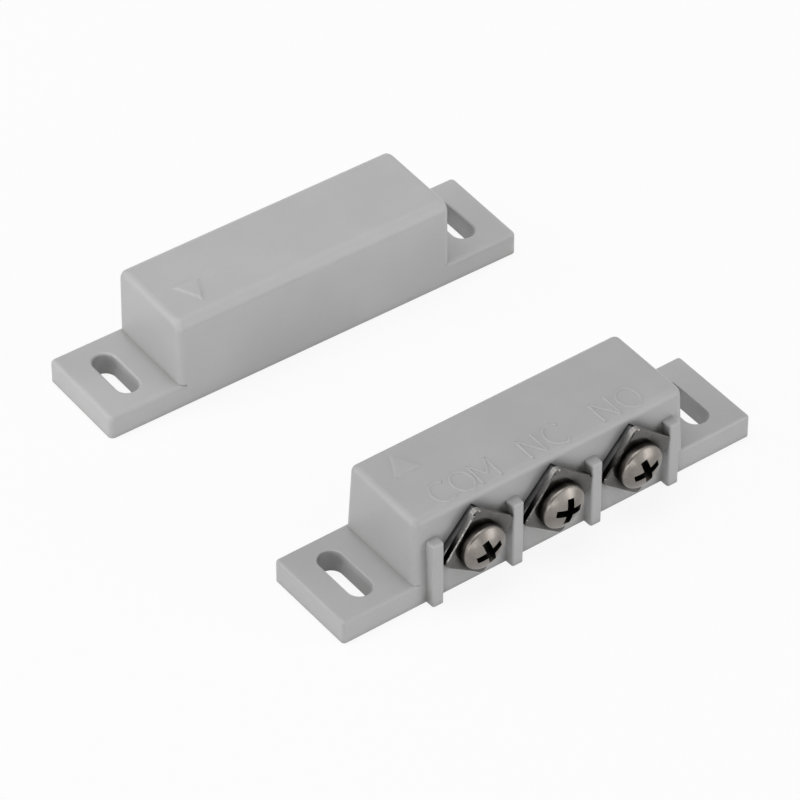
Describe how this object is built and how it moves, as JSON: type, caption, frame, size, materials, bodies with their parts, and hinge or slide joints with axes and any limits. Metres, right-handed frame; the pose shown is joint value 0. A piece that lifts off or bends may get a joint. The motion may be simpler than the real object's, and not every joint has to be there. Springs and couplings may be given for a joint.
{
  "type": "surface magnetic contact",
  "caption": "Surface-mounted door contact: a grey switch half with screw terminals between ribs and a matching magnet half, each with slotted ears and a raised block body.",
  "frame": {"origin": "middle of the switch half's flat mounting face", "axes": "+X along the halves from the COM terminal to the NO terminal, +Y from the terminals to the magnet half, +Z away from the mounting surface"},
  "size_m": [0.0653, 0.0656, 0.0135],
  "materials": {
    "switch_plastic": "fine matt moulding",
    "magnet_plastic": "fine matt moulding",
    "resin": "cast black resin with a self-levelled surface",
    "ferrite": "ground, matt",
    "terminal_brass": "nickel plated, satin",
    "clamp_steel": "nickel plated, bright",
    "screw_steel": "nickel plated, bright",
    "reed_glass": "clear, fire polished",
    "reed_metal": "drawn nickel iron",
    "tinned_wire": "tinned",
    "wire_sleeve": "smooth sleeving"
  },
  "bodies": {
    "root": {"switch_housing": "switch_plastic", "magnet_housing": "magnet_plastic", "switch_potting": "resin", "magnet_potting": "resin", "bar_magnet": "ferrite", "terminal_plate_com": "terminal_brass", "clamp_plate_com": "clamp_steel", "terminal_screw_com": "screw_steel", "terminal_plate_nc": "terminal_brass", "clamp_plate_nc": "clamp_steel", "terminal_screw_nc": "screw_steel", "terminal_plate_no": "terminal_brass", "clamp_plate_no": "clamp_steel", "terminal_screw_no": "screw_steel", "reed_glass": "reed_glass", "reed_blade_com": "reed_metal", "reed_blade_nc": "reed_metal", "reed_blade_no": "reed_metal", "jumper_nc": "tinned_wire", "jumper_sleeve": "wire_sleeve"}
  },
  "joints": []
}
